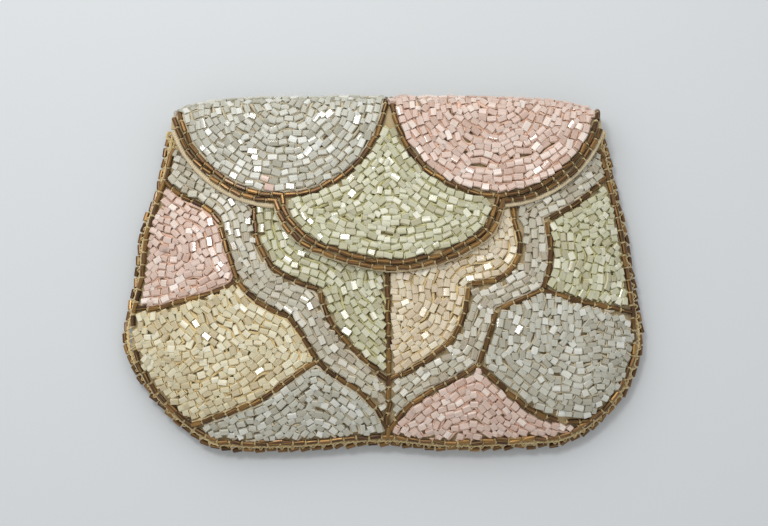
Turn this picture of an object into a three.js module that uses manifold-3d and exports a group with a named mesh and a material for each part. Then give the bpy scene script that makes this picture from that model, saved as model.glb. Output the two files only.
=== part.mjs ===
// A beaded flapper purse, lying closed on its back. Millimetres, +Z up, +Y from the bottom seam to the fold.
// One cloth makes the back, the fold and the scalloped flap; a second cloth makes the front of the pouch.
// Each colour of the beadwork is one layer sewn on its cloth, and bugle beads run between them as outlines.
import * as THREE from "three";
import { mergeVertices } from "three/addons/utils/BufferGeometryUtils.js";
import Module from "manifold-3d";

const wasm = await Module();
wasm.setup();

// Driving sizes
const purseWidth = 190; // across the widest part, over the edging
const purseHeight = 130; // from the bottom edging to the fold
const clothWall = 1;
const beadLayer = 2.1; // height of the pastel beads above their cloth
const layerGap = 0.3; // clearance between things that lie on each other
const flapRest = 0.5; // clearance between the flap and the front it lies on
const bugleRadius = 0.95; // bronze bugles of the outlines
const rowPitch = 2.2; // between the two rows that edge the flap
const edgingRadius = 1; // bronze edging around the seam
const bindingRadius = 0.6; // cream rolled edge of the flap
const seamHeight = 5.2; // of the side seams above the table
const frontRise = 8.2; // how far the front swells above its seam
const foldHeight = 15.3; // inside of the flap above the table, at the middle of the fold
const foldEndDrop = 2.4; // how much lower the fold is at its two ends
const foldCornerDrop = 4; // how far the fold's line draws back at its two ends
const frontCrown = 1.4; // how much the middle of the front is domed above its flanks
const leftFlank = 27; // width of the slope from the left seam up to the full front
const rightFlank = 17;
const bottomFlank = 25;
const backFlank = 15; // the same on the back, where it lifts off the table
const mouthDrop = 18.2; // from the top of the fold down to the front's top edge
const flapSlope = 29.3; // from the top of the fold down to where the flap comes to lie on the front
const lobeRadius = 37.7; // of the two round upper scallops of the flap
const valleyPlace = 2.1; // where those two come together, right of the middle
const valleyGap = 2; // between them there
const flapHem = 2.4; // cloth outside the first outline row of the flap
const snapRadius = 4;
const snapInset = 10; // from the flap's lowest point up to the press stud

// What follows from them
const halfWidth = purseWidth / 2;
const halfHeight = purseHeight / 2;
const allLayers = clothWall + layerGap + beadLayer;
const bugleLift = clothWall + layerGap + bugleRadius; // centre of a bugle row above the inside of its cloth
const channelHalf = bugleRadius + layerGap; // half the channel between two colours
const edgingReach = layerGap + 2 * edgingRadius; // the edging outside the cloth
const rowInset = channelHalf; // from the cloth's edge to the row that follows it
const foldRadius = (foldHeight - allLayers) / 2;
const foldLine = halfHeight - foldRadius - allLayers; // where the back starts to turn into the flap
const mouthLine = halfHeight - mouthDrop;
const cornerLine = foldLine - foldCornerDrop; // the side seams end here
const flapEase = halfHeight - flapSlope;
const bindingReach = flapHem + layerGap + bindingRadius; // its centre outside the first outline row

// Outline of the body, as shares of half the width and half the height
const leftSide = [
  { x: -0.8, y: 1.0 },
  { x: -0.845, y: 0.7 },
  { x: -0.865, y: 0.54 },
  { x: -0.905, y: 0.37 },
  { x: -0.94, y: 0.2 },
  { x: -0.95, y: 0.0 },
  { x: -0.975, y: -0.19 },
  { x: -1.0, y: -0.33 },
  { x: -0.985, y: -0.47 },
  { x: -0.92, y: -0.64 },
  { x: -0.835, y: -0.79 },
  { x: -0.74, y: -0.905 },
  { x: -0.655, y: -0.985 },
];
const rightSide = [
  { x: 0.82, y: 1.0 },
  { x: 0.865, y: 0.74 },
  { x: 0.89, y: 0.57 },
  { x: 0.91, y: 0.41 },
  { x: 0.94, y: 0.25 },
  { x: 0.952, y: 0.09 },
  { x: 0.97, y: -0.08 },
  { x: 0.985, y: -0.24 },
  { x: 1.0, y: -0.38 },
  { x: 0.985, y: -0.5 },
  { x: 0.94, y: -0.665 },
  { x: 0.85, y: -0.82 },
  { x: 0.76, y: -0.92 },
  { x: 0.68, y: -0.965 },
];
const bottomEdge = [
  { x: -0.655, y: -0.985 },
  { x: -0.47, y: -1.0 },
  { x: -0.25, y: -0.985 },
  { x: -0.1, y: -0.965 },
  { x: 0.02, y: -0.96 },
  { x: 0.18, y: -0.985 },
  { x: 0.34, y: -0.995 },
  { x: 0.5, y: -0.98 },
  { x: 0.68, y: -0.965 },
];

// Outlines on the front, from corner to corner, as shares of the same halves. From each row of a table an arc
// leads on to the next one, and bulges to the right of its way by a share of its chord.
const frontLines = {
  leftRibbonTop: [
    { x: -0.9, y: 0.64, bulge: 0.06 },
    { x: -0.731, y: 0.396, bulge: -0.1 },
    { x: -0.614, y: 0.258 },
  ],
  leftRibbonUpper: [
    { x: -0.614, y: 0.258, bulge: 0.02 },
    { x: -0.548, y: -0.053 },
  ],
  leftRibbonMiddle: [
    { x: -0.548, y: -0.053, bulge: 0.09 },
    { x: -0.352, y: -0.252, bulge: -0.02 },
    { x: -0.25, y: -0.49 },
  ],
  leftRibbonLow: [
    { x: -0.25, y: -0.49, bulge: 0.045 },
    { x: -0.117, y: -0.629, bulge: -0.09 },
    { x: 0.017, y: -0.87 },
  ],
  roseOverLemon: [
    { x: -0.548, y: -0.053, bulge: -0.035 },
    { x: -0.788, y: -0.174, bulge: -0.1 },
    { x: -0.98, y: -0.18 },
  ],
  lemonOverMist: [
    { x: -0.25, y: -0.49, bulge: -0.005 },
    { x: -0.459, y: -0.706, bulge: -0.01 },
    { x: -0.76, y: -0.86 },
  ],
  leftInnerTop: [
    { x: -0.5, y: 0.9, bulge: 0 },
    { x: -0.489, y: 0.33, bulge: 0.095 },
    { x: -0.421, y: 0.025, bulge: 0.05 },
    { x: -0.238, y: -0.108 },
  ],
  leftInnerLow: [
    { x: -0.238, y: -0.108, bulge: 0.075 },
    { x: -0.144, y: -0.379, bulge: 0.02 },
    { x: 0.02, y: -0.603 },
  ],
  middle: [
    { x: 0, y: 0.9, bulge: 0 },
    { x: 0.019, y: -0.197, bulge: -0.01 },
    { x: 0.015, y: -0.95 },
  ],
  rightInnerTop: [
    { x: 0.47, y: 0.9, bulge: 0 },
    { x: 0.493, y: 0.313, bulge: -0.015 },
    { x: 0.523, y: 0.136, bulge: -0.14 },
    { x: 0.424, y: -0.053, bulge: 0.01 },
    { x: 0.322, y: -0.075 },
  ],
  rightInnerLow: [
    { x: 0.322, y: -0.075, bulge: -0.08 },
    { x: 0.254, y: -0.39, bulge: -0.03 },
    { x: 0.02, y: -0.603 },
  ],
  rightRibbonTop: [
    { x: 0.9, y: 0.62, bulge: -0.05 },
    { x: 0.784, y: 0.44, bulge: -0.05 },
    { x: 0.618, y: 0.291 },
  ],
  rightRibbonUpper: [
    { x: 0.618, y: 0.291, bulge: -0.03 },
    { x: 0.632, y: 0.05, bulge: -0.05 },
    { x: 0.6, y: -0.102 },
  ],
  rightRibbonMiddle: [
    { x: 0.6, y: -0.102, bulge: -0.02 },
    { x: 0.432, y: -0.208 },
  ],
  rightRibbonLower: [
    { x: 0.432, y: -0.208, bulge: -0.01 },
    { x: 0.36, y: -0.514 },
  ],
  rightRibbonLow: [
    { x: 0.36, y: -0.514, bulge: -0.02 },
    { x: 0.216, y: -0.629, bulge: 0.07 },
    { x: 0.017, y: -0.87 },
  ],
  leafOverMist: [
    { x: 0.6, y: -0.102, bulge: 0.035 },
    { x: 1.0, y: -0.225 },
  ],
  roseUnderMist: [
    { x: 0.36, y: -0.514, bulge: 0.02 },
    { x: 0.557, y: -0.756, bulge: 0.09 },
    { x: 0.82, y: -0.81 },
  ],
};

// Middle scallop of the flap, its first outline row, in the same terms
const middleLobe = [
  { x: -0.375, y: 0.8, bulge: 0 },
  { x: -0.385, y: 0.42, bulge: 0.135 },
  { x: -0.25, y: 0.15, bulge: 0.035 },
  { x: 0.02, y: 0.045, bulge: 0.09 },
  { x: 0.395, y: 0.235, bulge: 0.095 },
  { x: 0.41, y: 0.8 },
];

// The colours of the front, each named by a point inside it
const frontColours = [
  { name: "front_beads_ribbon_left", colour: "pearl", x: -0.45, y: -0.07 },
  { name: "front_beads_ribbon_right", colour: "pearl", x: 0.42, y: -0.13 },
  { name: "front_beads_rose_left", colour: "rose", x: -0.78, y: 0.15 },
  { name: "front_beads_rose_right", colour: "rose", x: 0.33, y: -0.75 },
  { name: "front_beads_lemon", colour: "lemon", x: -0.6, y: -0.45 },
  { name: "front_beads_mist_left", colour: "mist", x: -0.3, y: -0.8 },
  { name: "front_beads_mist_right", colour: "mist", x: 0.7, y: -0.45 },
  { name: "front_beads_leaf_left", colour: "leaf", x: -0.15, y: -0.1 },
  { name: "front_beads_leaf_right", colour: "leaf", x: 0.8, y: 0.1 },
  { name: "front_beads_cream", colour: "cream", x: 0.15, y: -0.2 },
];

const materials = {
  cloth: { color: "#d9c9a3", roughness: 0.85, metalness: 0 },
  binding: { color: "#e0d2ae", roughness: 0.8, metalness: 0 },
  bronze: { color: "#6e4a26", roughness: 0.3, metalness: 0.4 },
  steel: { color: "#9a9a98", roughness: 0.35, metalness: 0.9 },
  pearl: { color: "#cdccc2", roughness: 0.35, metalness: 0 },
  rose: { color: "#e3c3b8", roughness: 0.35, metalness: 0 },
  lemon: { color: "#dfd3ac", roughness: 0.35, metalness: 0 },
  mist: { color: "#c0c6c2", roughness: 0.35, metalness: 0 },
  leaf: { color: "#cdd1ae", roughness: 0.35, metalness: 0 },
  cream: { color: "#e2d2a8", roughness: 0.35, metalness: 0 },
};

// Grid lines of the cloths, as shares across and up the body: close together where it slopes
const columns = [0, 0.012, 0.04, 0.08, 0.13, 0.2, 0.3, 0.4, 0.5, 0.6, 0.7, 0.8, 0.88, 0.94, 0.985, 1];
const rows = [0, 0.03, 0.075, 0.135, 0.22, 0.34, 0.47, 0.58, 0.68, 0.78, 0.87, 0.94, 1];
const foldTurns = 6; // facets around the fold
const cornerSharpness = 6; // power that keeps the fold's line straight until near its ends
const mouthSink = 0.35; // share of the front's rise that is lost towards the mouth
const crestShare = 0.97; // how far out on the fold the flap's rows end
const sampleStep = 1.5; // between the points of a curve before it is thinned
const bow = 0.25; // most that a straight stretch of an outline may stand off its curve
const longest = 14; // straight stretch of an outline
const tubeSides = 6;

const clamp01 = (t) => Math.min(1, Math.max(0, t));
const smooth = (t) => t * t * (3 - 2 * t);
const swell = (t) => Math.sin((Math.PI / 2) * clamp01(t));
const point = (x, y) => new THREE.Vector2(x, y);

// A smooth plan curve through a table of points, sampled evenly
function sampled(table, scaleX, scaleY) {
  const knots = table.map((p) => new THREE.Vector3(p.x * scaleX, p.y * scaleY, 0));
  const curve = new THREE.CatmullRomCurve3(knots, false, "centripetal");
  const steps = Math.max(2, Math.round(curve.getLength() / sampleStep));
  return curve.getSpacedPoints(steps).map((p) => point(p.x, p.y));
}

// Points along a plan arc, without its last one
function arcPoints(from, to, bulge) {
  const chord = to.clone().sub(from);
  const aside = point(chord.y, -chord.x);
  const steps = Math.max(2, Math.round(chord.length() / sampleStep));
  const halfTurn = 2 * Math.atan(2 * bulge);
  return Array.from({ length: steps }, (_, i) => {
    const share = i / steps;
    const p = from.clone().addScaledVector(chord, share);
    if (bulge === 0) return p;
    const turn = halfTurn * (2 * share - 1);
    const along = (1 + Math.sin(turn) / Math.sin(halfTurn)) / 2;
    const out = (Math.cos(turn) - Math.cos(halfTurn)) / (2 * Math.sin(halfTurn));
    return from.clone().addScaledVector(chord, along).addScaledVector(aside, out);
  });
}

// The plan line of a table of arcs
function arcLine(table) {
  const ends = table.map((p) => point(p.x * halfWidth, p.y * halfHeight));
  const arcs = ends.slice(1).map((to, i) => arcPoints(ends[i], to, table[i].bulge));
  return [...arcs.flat(), ends[ends.length - 1]];
}

// The same line with only the points that keep it within a bow of its curve
function thinned(line) {
  const chosen = [line[0]];
  let from = 0;
  for (let to = 2; to < line.length; to++) {
    const chord = line[to].clone().sub(line[from]);
    const span = chord.length();
    const off = line.slice(from + 1, to).map((p) => {
      const way = p.clone().sub(line[from]);
      return way.sub(chord.clone().multiplyScalar(way.dot(chord) / span ** 2)).length();
    });
    if (span < longest && Math.max(...off) < bow) continue;
    chosen.push(line[to - 1]);
    from = to - 1;
  }
  return [...chosen, line[line.length - 1]];
}

// The value of one coordinate along a sampled line, where another coordinate has a given value
function readOff(line, known, wanted, value) {
  const after = line.findIndex((p) => p[known] >= value);
  if (after === 0) return line[0][wanted];
  if (after < 0) return line[line.length - 1][wanted];
  const [a, b] = [line[after - 1], line[after]];
  return a[wanted] + ((value - a[known]) / (b[known] - a[known])) * (b[wanted] - a[wanted]);
}

// The same line with the distance run along it at each point
function measured(line) {
  let run = 0;
  return line.map((p, i) => {
    run += i ? p.distanceTo(line[i - 1]) : 0;
    return { x: p.x, y: p.y, run };
  });
}

const clothHalfWidth = halfWidth - edgingReach;
const clothHalfHeight = halfHeight - edgingReach;
const left = measured(sampled(leftSide, clothHalfWidth, clothHalfHeight).reverse());
const right = measured(sampled(rightSide, clothHalfWidth, clothHalfHeight).reverse());
const bottom = sampled(bottomEdge, clothHalfWidth, clothHalfHeight);
const leftCorner = point(readOff(left, "y", "x", cornerLine), cornerLine);
const rightCorner = point(readOff(right, "y", "x", cornerLine), cornerLine);

// How far inside the cloth's outline a place is, from each of its sides
function insets(x, y) {
  return {
    left: x - readOff(left, "y", "x", y),
    right: readOff(right, "y", "x", y) - x,
    bottom: y - readOff(bottom, "x", "y", x),
  };
}

// How full the purse is at a place: 0 at the seam, 1 where the flanks end
function fullness(x, y, flanks) {
  const inset = insets(x, y);
  return Object.keys(flanks).reduce((full, side) => full * swell(inset[side] / flanks[side]), 1);
}
const frontFlanks = { left: leftFlank, right: rightFlank, bottom: bottomFlank };
const backFlanks = { left: backFlank, right: backFlank, bottom: backFlank };

// Inside of the front cloth: domed, and sinking a little from the belly to the mouth
function frontInside(x, y) {
  const mouthEase = 1 - mouthSink * smooth(clamp01(y / mouthLine));
  const dome = frontCrown * (1 - (x / halfWidth) ** 2) * (1 - (y / halfHeight) ** 2);
  return seamHeight + layerGap / 2 + (frontRise * mouthEase + dome) * fullness(x, y, frontFlanks);
}

// Inside of the back cloth: flat on its beads, lifted to the seam along its edge
function backInside(x, y) {
  const rim = seamHeight - layerGap / 2;
  return rim + (allLayers - rim) * fullness(x, y, backFlanks);
}

// How much taller a wall of even thickness stands where its surface slopes
const probe = clothWall / 2; // step for reading a slope
function steepness(height, x, y) {
  const alongX = (height(x + probe, y) - height(x - probe, y)) / (2 * probe);
  const alongY = (height(x, y + probe) - height(x, y - probe)) / (2 * probe);
  return Math.hypot(1, alongX, alongY);
}

// The place straight above a plan point, a given distance outside a cloth's inside face
function raised(height, p, distance, up = 1) {
  const z = height(p.x, p.y) + up * distance * steepness(height, p.x, p.y);
  return new THREE.Vector3(p.x, p.y, z);
}

// Inside of the flap: it lies on the front's beads and meets the fold at its own height
function flapInside(x, y) {
  const onFront = raised(frontInside, { x, y }, allLayers).z + flapRest;
  const atFold = foldHeight - foldEndDrop * clamp01(Math.abs(x) / halfWidth) ** 2;
  return onFront + (atFold - onFront) * smooth(clamp01((y - flapEase) / (cornerLine - flapEase)));
}

// The line where the back turns into the fold, drawn back at its two ends
function foldStart(x) {
  const middle = (leftCorner.x + rightCorner.x) / 2;
  const share = Math.abs(x - middle) / (rightCorner.x - middle);
  return foldLine - foldCornerDrop * Math.min(1, share) ** cornerSharpness;
}

// The grid that all cloths share, spanned between the bottom, the two sides and the fold
function plan(across, up) {
  const low = point(bottom[0].x + across * (bottom[bottom.length - 1].x - bottom[0].x), 0);
  low.y = readOff(bottom, "x", "y", low.x);
  const high = leftCorner.clone().lerp(rightCorner, across);
  high.y = foldStart(high.x);
  const along = (side) => {
    const run = up * readOff(side, "y", "run", cornerLine);
    return point(readOff(side, "run", "x", run), readOff(side, "run", "y", run));
  };
  const sides = along(left).lerp(along(right), across);
  const lowCorners = point(left[0].x, left[0].y).lerp(point(right[0].x, right[0].y), across);
  const highCorners = leftCorner.clone().lerp(rightCorner, across);
  return low.lerp(high, up).add(sides).sub(lowCorners.lerp(highCorners, up));
}

// A closed sheet between two distances outside a surface, from a grid of its points
function sheet(pointAt, across, along, near, far) {
  const positions = [];
  const index = [];
  const wide = across.length;
  const layer = wide * along.length;
  for (const distance of [near, far]) {
    for (const v of along) for (const u of across) positions.push(...pointAt(u, v, distance));
  }
  const quad = (a, b, c, d) => index.push(a, b, c, a, c, d);
  for (let j = 0; j + 1 < along.length; j++) {
    const first = j * wide;
    const last = first + wide - 1;
    for (let i = 0; i + 1 < wide; i++) {
      const a = first + i;
      quad(a, a + wide, a + wide + 1, a + 1);
      quad(a + layer, a + 1 + layer, a + wide + 1 + layer, a + wide + layer);
    }
    quad(first + wide, first, first + layer, first + wide + layer);
    quad(last, last + wide, last + wide + layer, last + layer);
  }
  for (let i = 0; i + 1 < wide; i++) {
    const top = layer - wide + i;
    quad(i, i + 1, i + 1 + layer, i + layer);
    quad(top + 1, top, top + layer, top + 1 + layer);
  }
  const geometry = new THREE.BufferGeometry();
  geometry.setAttribute("position", new THREE.Float32BufferAttribute(positions, 3));
  return geometry.setIndex(index);
}

// Closed geometry made ready for joining and cutting, and back
function solid(geometry) {
  const bare = new THREE.BufferGeometry();
  bare.setAttribute("position", geometry.getAttribute("position"));
  bare.setIndex(geometry.getIndex());
  const merged = mergeVertices(bare, 1e-4);
  const vertProperties = merged.getAttribute("position").array;
  const triVerts = new Uint32Array(merged.getIndex().array);
  return new wasm.Manifold(new wasm.Mesh({ numProp: 3, vertProperties, triVerts }));
}

function geometryOf(body) {
  const made = body.getMesh();
  const geometry = new THREE.BufferGeometry();
  geometry.setAttribute("position", new THREE.BufferAttribute(made.vertProperties, 3));
  geometry.setIndex(new THREE.BufferAttribute(made.triVerts, 1));
  geometry.computeVertexNormals();
  return geometry;
}

const joined = (bodies) => bodies.reduce((all, body) => all.add(body));

// An upright block with a plan outline, for cutting
const cutLow = -foldHeight;
const cutHigh = 3 * foldHeight;
function block(outline, low = cutLow) {
  const options = { depth: cutHigh - low, bevelEnabled: false };
  return solid(new THREE.ExtrudeGeometry(new THREE.Shape(outline), options).translate(0, 0, low));
}

function boxBlock(xFrom, xTo, yFrom, yTo, low = cutLow) {
  return block([point(xFrom, yFrom), point(xTo, yFrom), point(xTo, yTo), point(xFrom, yTo)], low);
}

function roundBlock(x, y, radius) {
  return block(new THREE.Shape().absarc(x, y, radius, 0, 2 * Math.PI, false).getPoints(6));
}

// The points of a plan line moved sideways, to the right of its direction where positive
function beside(line, distance) {
  return line.map((p, i) => {
    const before = line[Math.max(0, i - 1)];
    const after = line[Math.min(line.length - 1, i + 1)];
    const way = point(after.x - before.x, after.y - before.y).normalize();
    return point(p.x + way.y * distance, p.y - way.x * distance);
  });
}

// An upright wall along a plan line, from one distance beside it to another, a little longer than the line
function wall(line, from, to) {
  const thin = thinned(line);
  const [first, second] = thin;
  const [nearLast, last] = thin.slice(-2);
  const past = (end, inner) => end.clone().add(end.clone().sub(inner).setLength(bugleRadius));
  const long = [past(first, second), ...thin, past(last, nearLast)];
  return block([...beside(long, from), ...beside(long, to).reverse()]);
}

// The stretch of a plan line where a measure is above zero, cut exactly where it turns
function kept(line, measure) {
  const stretch = [];
  line.forEach((p, i) => {
    const here = measure(p);
    const before = i ? measure(line[i - 1]) : here;
    if (here > 0 !== before > 0) stretch.push(line[i - 1].clone().lerp(p, before / (before - here)));
    if (here > 0) stretch.push(p);
  });
  return stretch;
}

// A row of bugles along points in space, as one bar
function bar(points, radius) {
  const knots = thinned(points);
  const path = new THREE.CatmullRomCurve3(knots, false, "centripetal");
  path.getUtoTmapping = (u) => u; // a section at each knot
  const corners = [];
  for (let i = 0; i < tubeSides; i++) {
    const turn = (2 * Math.PI * (i + 0.5)) / tubeSides;
    corners.push(point(radius * Math.cos(turn), radius * Math.sin(turn)));
  }
  const options = { steps: knots.length - 1, bevelEnabled: false, extrudePath: path };
  return solid(new THREE.ExtrudeGeometry(new THREE.Shape(corners), options));
}

const purse = new THREE.Group();
purse.name = "beaded_purse";

function place(name, body, finish) {
  const mesh = new THREE.Mesh(geometryOf(body), new THREE.MeshStandardMaterial(materials[finish]));
  mesh.name = name;
  purse.add(mesh);
}

// The seam line, down the left side from the fold, along the bottom and up the right side
const belowCorner = (side) => kept(side.map((p) => point(p.x, p.y)), (p) => cornerLine - p.y);
const seamLine = [...belowCorner(left).reverse(), ...bottom.slice(1, -1), ...belowCorner(right)];
const frontSeam = kept(seamLine, (p) => mouthLine - p.y);

// The flap's three scallops, grown or shrunk by a distance
const leftLobe = point(valleyPlace - valleyGap / 2 - lobeRadius, halfHeight);
const rightLobe = point(valleyPlace + valleyGap / 2 + lobeRadius, halfHeight);
function lobeArc(centre, growth) {
  const radius = lobeRadius + growth;
  const steps = Math.round((Math.PI * radius) / sampleStep);
  return Array.from({ length: steps + 1 }, (_, i) => {
    const turn = Math.PI * (1 + i / steps);
    return point(centre.x + radius * Math.cos(turn), centre.y + radius * Math.sin(turn));
  });
}
const beyond = foldHeight; // past the edge of the cloth
function roundLobe(centre, growth) {
  const arc = thinned(lobeArc(centre, growth));
  const top = centre.y + beyond;
  return block([...arc, point(arc[arc.length - 1].x, top), point(arc[0].x, top)]);
}
const middleLine = arcLine(middleLobe);
const tip = middleLine.reduce((lowest, p) => (p.y < lowest.y ? p : lowest));
const tongue = (growth) => block(thinned(beside(middleLine, growth)));
const lobes = (growth) =>
  joined([roundLobe(leftLobe, growth), roundLobe(rightLobe, growth), tongue(growth)]);

// A point outside the cloth that makes the back (turn 0), the fold (0 to 1) and the flap (1)
function shellPoint(across, [up, turn], distance) {
  const p = plan(across, up);
  if (turn === 0) return raised(backInside, p, distance, -1);
  if (turn === 1) return raised(flapInside, p, distance);
  return foldPoint(p.x, turn, distance);
}
function foldPoint(x, turn, distance) {
  const start = foldStart(x);
  const middle = (backInside(x, start) + flapInside(x, start)) / 2;
  const radius = foldSize(x, distance);
  const angle = Math.PI * (turn - 0.5);
  return new THREE.Vector3(x, start + radius * Math.cos(angle), middle + radius * Math.sin(angle));
}
function foldSize(x, distance) {
  const start = foldStart(x);
  return (flapInside(x, start) - backInside(x, start)) / 2 + distance;
}
const backRows = rows.map((up) => [up, 0]);
const foldRows = Array.from({ length: foldTurns - 1 }, (_, i) => [1, (i + 1) / foldTurns]);
const tipRow = rows.findLastIndex((up) => plan(0.5, up).y < tip.y - flapHem);
const flapRows = rows.slice(tipRow).reverse().map((up) => [up, 1]);
const shellColumns = [...columns].reverse();

// A place on the flap or on the upper half of the fold, for the rows sewn there
function onFlap(p, distance) {
  const start = foldStart(p.x);
  if (p.y <= start) return raised(flapInside, p, distance);
  const angle = Math.acos(Math.min(1, (p.y - start) / foldSize(p.x, distance)));
  return foldPoint(p.x, 0.5 + angle / Math.PI, distance);
}

// Cloths
const shellRows = [...backRows, ...foldRows, ...flapRows];
const shell = solid(sheet(shellPoint, shellColumns, shellRows, 0, clothWall));
const aroundFlap = boxBlock(-purseWidth, purseWidth, -purseHeight, cornerLine, seamHeight + edgingRadius);
place("back_and_flap_cloth", shell.subtract(aroundFlap.subtract(lobes(flapHem))), "cloth");

const frontPoint = (across, up, distance) => {
  const p = plan(across, up);
  return raised(frontInside, p, distance);
};
const aboveMouth = boxBlock(-purseWidth, purseWidth, mouthLine, purseHeight);
const frontCloth = solid(sheet(frontPoint, columns, rows, 0, clothWall));
place("front_cloth", frontCloth.subtract(aboveMouth), "cloth");

// Bronze outlines of the front
const snap = point(tip.x, tip.y + snapInset);
const snapHole = roundBlock(snap.x, snap.y, snapRadius + layerGap);
const lines = Object.values(frontLines).map(arcLine);
const frontInset = (p) => {
  const { left: fromLeft, right: fromRight, bottom: fromBottom } = insets(p.x, p.y);
  return Math.min(fromLeft, fromRight, fromBottom, mouthLine - p.y) - rowInset + bugleRadius / 2;
};
const mouthBeads = mouthLine - rowInset;
const mouthRow = arcPoints(point(-halfWidth, mouthBeads), point(halfWidth, mouthBeads), 0);
const frontRow = beside(frontSeam, -rowInset);
const onFront = (line) => line.map((p) => raised(frontInside, p, bugleLift));
const frontBars = [frontRow, mouthRow, ...lines]
  .map((line) => bar(onFront(kept(line, frontInset)), bugleRadius));
place("front_outline_beads", joined(frontBars).subtract(snapHole), "bronze");

// Colours of the front
const edgeMargin = 2 * rowInset;
const frontBeads = solid(sheet(frontPoint, columns, rows, clothWall + layerGap, allLayers));
const frontCuts = [
  snapHole,
  wall(frontSeam, -edgeMargin, beyond),
  boxBlock(-purseWidth, purseWidth, mouthLine - edgeMargin, purseHeight),
  ...lines.map((line) => wall(line, -channelHalf, channelHalf)),
];
const frontPieces = frontBeads.subtract(joined(frontCuts)).decompose();
for (const { name, colour, x, y } of frontColours) {
  const needle = roundBlock(x * halfWidth, y * halfHeight, bugleRadius);
  place(name, frontPieces.find((piece) => piece.intersect(needle).volume() > 0), colour);
}

// Colours of the flap
const flapBeadRows = [...foldRows.filter(([, turn]) => turn > 0.5), ...flapRows];
const flapBeads = solid(sheet(shellPoint, shellColumns, flapBeadRows, clothWall + layerGap, allLayers));
const leftField = roundLobe(leftLobe, -channelHalf);
const rightField = roundLobe(rightLobe, -channelHalf);
const aroundRound = roundLobe(leftLobe, channelHalf).add(roundLobe(rightLobe, channelHalf));
place("flap_beads_left", flapBeads.intersect(leftField), "mist");
place("flap_beads_right", flapBeads.intersect(rightField), "rose");
place("flap_beads_middle", flapBeads.intersect(tongue(-channelHalf)).subtract(aroundRound), "leaf");

// Bronze outlines of the flap: two rows around its edge, and one where scallops meet
const tongueLeft = middleLine.filter((p) => p.x <= tip.x).reverse();
const tongueRight = middleLine.filter((p) => p.x >= tip.x);
const fromLobe = (p, lobe) => Math.hypot(p.x - lobe.x, p.y - lobe.y) - lobeRadius;
const overlapEnds = bugleRadius / 2; // so that rows that meet are one
const insideFold = (p) => {
  const { left: fromLeft, right: fromRight } = insets(p.x, p.y);
  return Math.min(fromLeft, fromRight, foldStart(p.x) + crestShare * foldSize(p.x, bugleLift) - p.y);
};
function flapEdge(growth, measure) {
  const outsideLeft = (p) => (growth ? readOff(tongueLeft, "y", "x", p.y) - p.x - growth + overlapEnds : 1);
  const outsideRight = (p) => (growth ? p.x - readOff(tongueRight, "y", "x", p.y) - growth + overlapEnds : 1);
  const outsideLobes = (p) => Math.min(fromLobe(p, leftLobe), fromLobe(p, rightLobe)) - growth + overlapEnds;
  const lines = [
    kept(lobeArc(leftLobe, growth), outsideLeft),
    kept(beside(middleLine, growth), outsideLobes),
    kept(lobeArc(rightLobe, growth), outsideRight),
  ];
  return lines.map((line) => kept(line, measure));
}
const sewnOn = (line, distance) => line.map((p) => onFlap(p, distance));
const flapBars = (growth, measure, distance, radius) =>
  joined(flapEdge(growth, measure).map((line) => bar(sewnOn(line, distance), radius)));
const belowFold = (p) => cornerLine - layerGap - p.y;
place("flap_outline_beads", flapBars(0, insideFold, bugleLift, bugleRadius), "bronze");
place("flap_edge_beads", flapBars(rowPitch, insideFold, bugleLift, bugleRadius), "bronze");
place("flap_binding", flapBars(bindingReach, belowFold, clothWall / 2, bindingRadius), "binding");

// Bronze edging around the seam
const aroundSeam = beside(seamLine, layerGap + edgingRadius);
const edgingLine = aroundSeam.map((p) => new THREE.Vector3(p.x, p.y, seamHeight));
place("seam_edging_beads", bar(edgingLine, edgingRadius), "bronze");

// Beads of the back, up to the crest of the fold
const backBeadRows = [...backRows, ...foldRows.filter(([, turn]) => turn <= 0.5)];
const backLayer = sheet(shellPoint, shellColumns, backBeadRows, clothWall + layerGap, allLayers);
place("back_beads", solid(backLayer), "pearl");

// Hidden press stud between the flap's tip and the front
const stud = solid(sheet(frontPoint, columns, rows, clothWall + layerGap, allLayers + flapRest - layerGap));
place("snap_fastener", stud.intersect(roundBlock(snap.x, snap.y, snapRadius)), "steel");

const bounds = new THREE.Box3().setFromObject(purse);
const centre = bounds.getCenter(new THREE.Vector3());
purse.position.set(-centre.x, -centre.y, -bounds.min.z);

export default purse;
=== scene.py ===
import math

import bpy
import numpy as np
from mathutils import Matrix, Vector, noise
from mathutils.bvhtree import BVHTree


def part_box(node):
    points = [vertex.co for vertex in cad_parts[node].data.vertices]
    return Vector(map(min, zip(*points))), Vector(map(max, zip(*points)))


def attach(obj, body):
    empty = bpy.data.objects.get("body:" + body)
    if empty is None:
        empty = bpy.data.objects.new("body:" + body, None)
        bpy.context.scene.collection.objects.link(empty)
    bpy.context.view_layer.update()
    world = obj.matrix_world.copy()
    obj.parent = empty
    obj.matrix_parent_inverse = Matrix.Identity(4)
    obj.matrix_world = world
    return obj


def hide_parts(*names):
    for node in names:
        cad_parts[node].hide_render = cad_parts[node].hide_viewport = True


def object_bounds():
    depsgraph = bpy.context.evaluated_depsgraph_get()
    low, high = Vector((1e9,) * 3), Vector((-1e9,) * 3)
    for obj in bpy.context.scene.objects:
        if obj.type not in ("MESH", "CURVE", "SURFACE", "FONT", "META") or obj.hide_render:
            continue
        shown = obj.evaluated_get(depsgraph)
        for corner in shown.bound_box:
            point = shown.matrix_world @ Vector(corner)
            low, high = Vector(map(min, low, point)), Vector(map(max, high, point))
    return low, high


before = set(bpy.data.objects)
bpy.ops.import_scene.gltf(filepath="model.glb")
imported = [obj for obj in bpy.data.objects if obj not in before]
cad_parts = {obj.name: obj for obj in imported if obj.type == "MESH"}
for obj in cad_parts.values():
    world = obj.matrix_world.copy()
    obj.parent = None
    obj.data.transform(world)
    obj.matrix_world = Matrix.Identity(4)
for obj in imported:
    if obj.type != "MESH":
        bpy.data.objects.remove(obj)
cadLow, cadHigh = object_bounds()

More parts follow.
